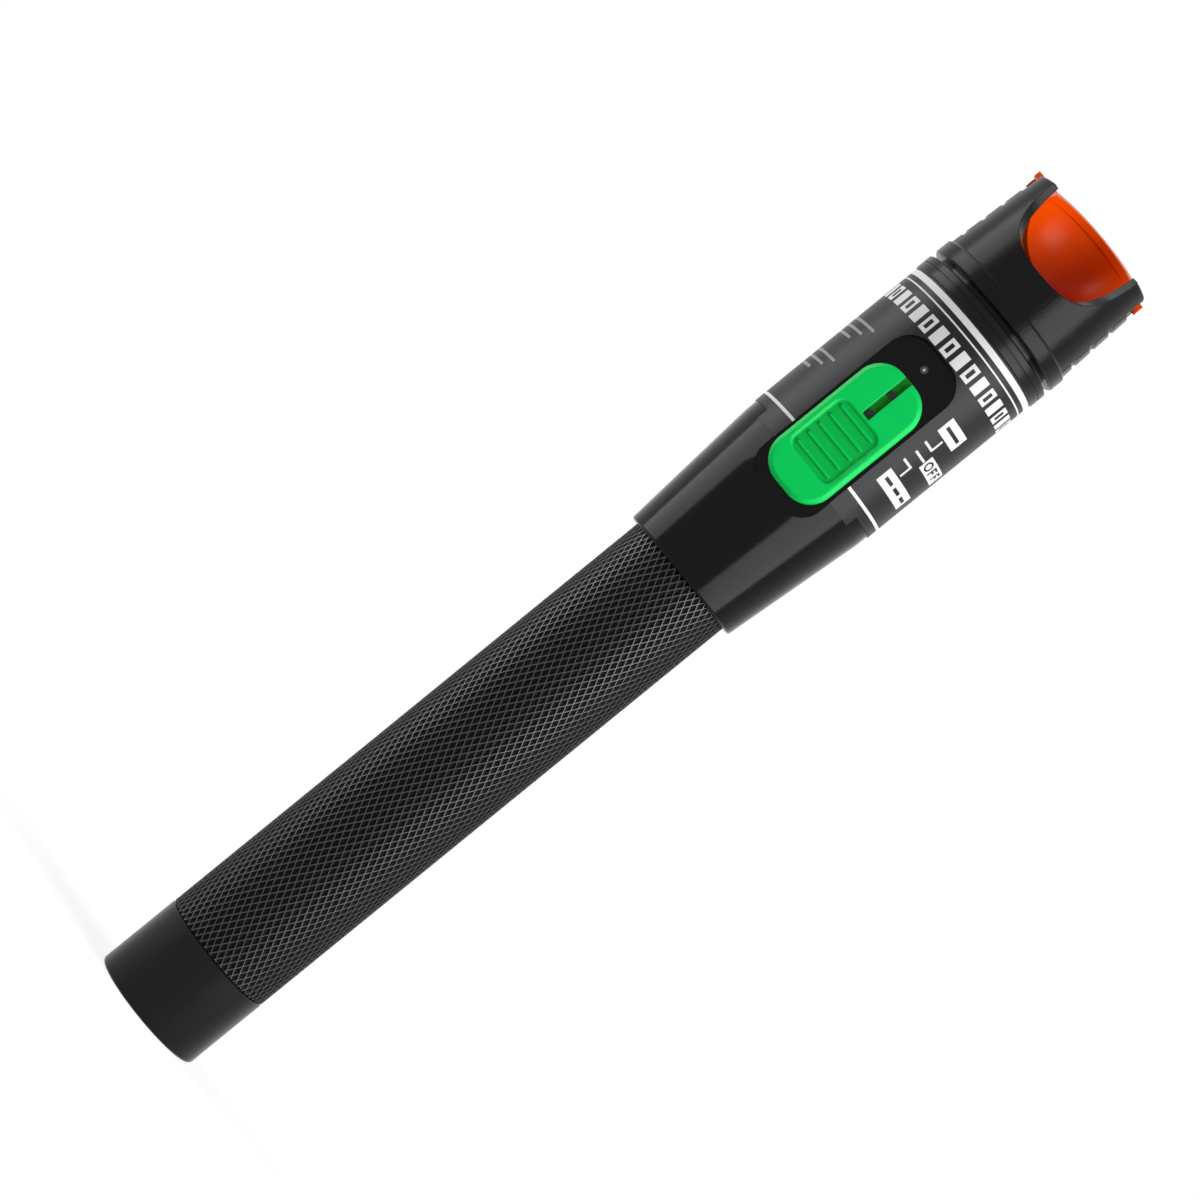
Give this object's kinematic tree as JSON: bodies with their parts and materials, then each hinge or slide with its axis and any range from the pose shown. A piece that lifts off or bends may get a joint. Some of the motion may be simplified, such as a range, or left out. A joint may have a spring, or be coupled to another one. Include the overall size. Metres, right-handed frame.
{
  "type": "visual fault locator",
  "caption": "Pen-shaped visual fault locator for optical fibre: knurled battery tube, screw tail cap, sliding thumb switch, scooped nose with flip visor over a 2.5 mm ferrule port.",
  "frame": {"origin": "middle of the tail cap's flat end face, on which the pen stands", "axes": "+Z along the pen from tail to nose, thumb switch facing -Y, the nose's ribbed flanks facing +X and -X"},
  "size_m": [0.0262, 0.0266, 0.1803],
  "materials": {
    "black_anodised": "satin black anodised, knurled on the tube",
    "gloss_black": "glossy moulded black",
    "satin_sleeve": "satin dark grey with white printed rings",
    "trim_black": "semi-gloss black",
    "nose_black": "fine spark-eroded texture",
    "visor_orange": "smooth glossy orange",
    "slider_green": "satin bright green",
    "seal_rubber": "matt black rubber",
    "nickel_plate": "nickel plated",
    "spring_steel": "nickel plated wire",
    "cell_wrap": "film-wrapped can, plain blue and copper",
    "black_steel": "blackened steel",
    "switch_steel": "tinned steel can",
    "board_black": "moulded black",
    "clear_lens": "polished",
    "carrier_white": "moulded natural white",
    "board_green": "solder mask green",
    "coil_grey": "ferrite",
    "ceramic_tan": "fired, tinned ends",
    "brass": "turned",
    "port_steel": "turned stainless steel",
    "white_ceramic": "ground zirconia"
  },
  "bodies": {
    "housing": {"front_seal": "seal_rubber", "battery_tube": "black_anodised", "cell_tail": "cell_wrap", "cell_front": "cell_wrap", "head_housing": "gloss_black", "label_sleeve": "satin_sleeve", "trim_ring": "trim_black", "switch_body": "switch_steel", "indicator_lens": "clear_lens", "chassis": "carrier_white", "circuit_board": "board_green", "driver_chip": "board_black", "boost_coil": "coil_grey", "chip_capacitors": "ceramic_tan", "contact_disc": "board_black", "contact_stud": "brass", "laser_barrel": "brass", "laser_diode": "nickel_plate", "focus_optic": "clear_lens", "optic_ring": "brass", "port_body": "port_steel", "ceramic_sleeve": "white_ceramic", "port_nut": "port_steel", "nose_cap": "nose_black"},
    "tail_contact": {"tail_contact_plate": "nickel_plate", "tail_spring": "spring_steel"},
    "tail_cap": {"tail_cap": "black_anodised", "tail_seal": "seal_rubber"},
    "slider": {"thumb_slider": "slider_green", "slider_screws": "black_steel", "switch_lever": "board_black"},
    "visor": {"visor": "visor_orange"}
  },
  "joints": [
    {"name": "switch_slide", "type": "slide", "parent": "housing", "child": "slider", "axis": [0, 0, 1], "range_m": [-0.0019, 0.0019]},
    {"name": "visor_flip", "type": "hinge", "parent": "housing", "child": "visor", "pos_m": [0, 0, 0.176], "axis": [1, 0, 0], "range_deg": [0, 110]},
    {"name": "cap_travel", "type": "slide", "parent": "housing", "child": "tail_contact", "axis": [0, 0, 1], "range_m": [-0.005, 0]},
    {"name": "cap_turn", "type": "hinge", "parent": "tail_contact", "child": "tail_cap", "pos_m": [0, 0, 0.007], "axis": [0, 0, 1], "range_deg": [-1800, 0]}
  ],
  "couplings": [
    {"joint": "cap_travel", "follows": "cap_turn", "m_per_rad": 0.00015915}
  ]
}
